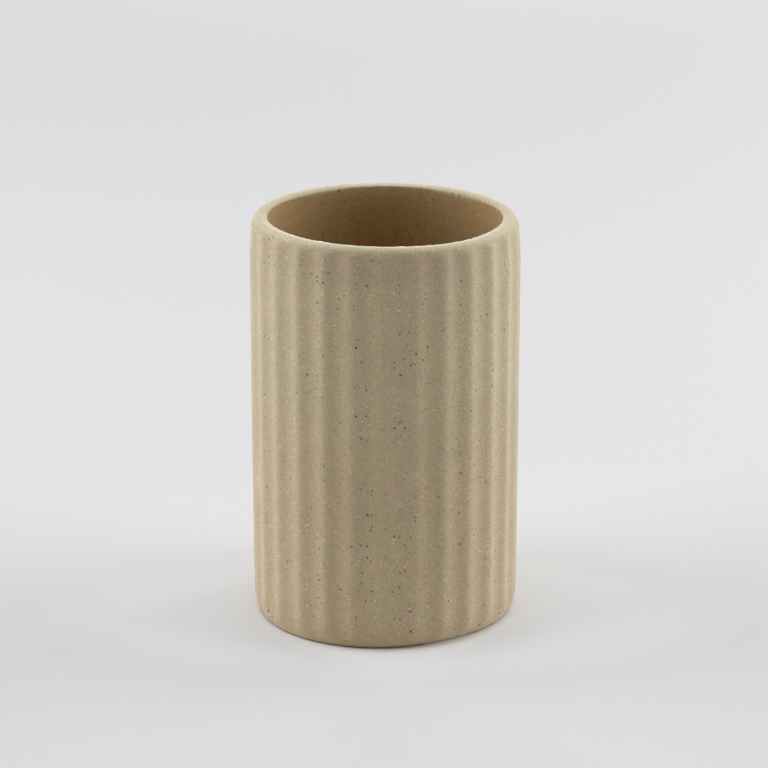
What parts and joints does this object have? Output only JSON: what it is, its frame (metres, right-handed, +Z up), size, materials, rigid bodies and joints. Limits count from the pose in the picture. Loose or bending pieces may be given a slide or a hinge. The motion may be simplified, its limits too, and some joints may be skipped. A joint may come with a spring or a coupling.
{
  "type": "bathroom tumbler",
  "caption": "Straight-sided stoneware tumbler with soft vertical flutes, a smooth rounded lip and an open bore that holds toothbrushes or water.",
  "frame": {"origin": "centre of the foot ring, in the plane that the tumbler stands on", "axes": "+Z up along the turning axis, out of the open mouth"},
  "size_m": [0.071, 0.071, 0.1088],
  "materials": {
    "stoneware": "matte, unglazed, fine-grained and speckled"
  },
  "bodies": {
    "root": {"tumbler_body": "stoneware"}
  },
  "joints": []
}
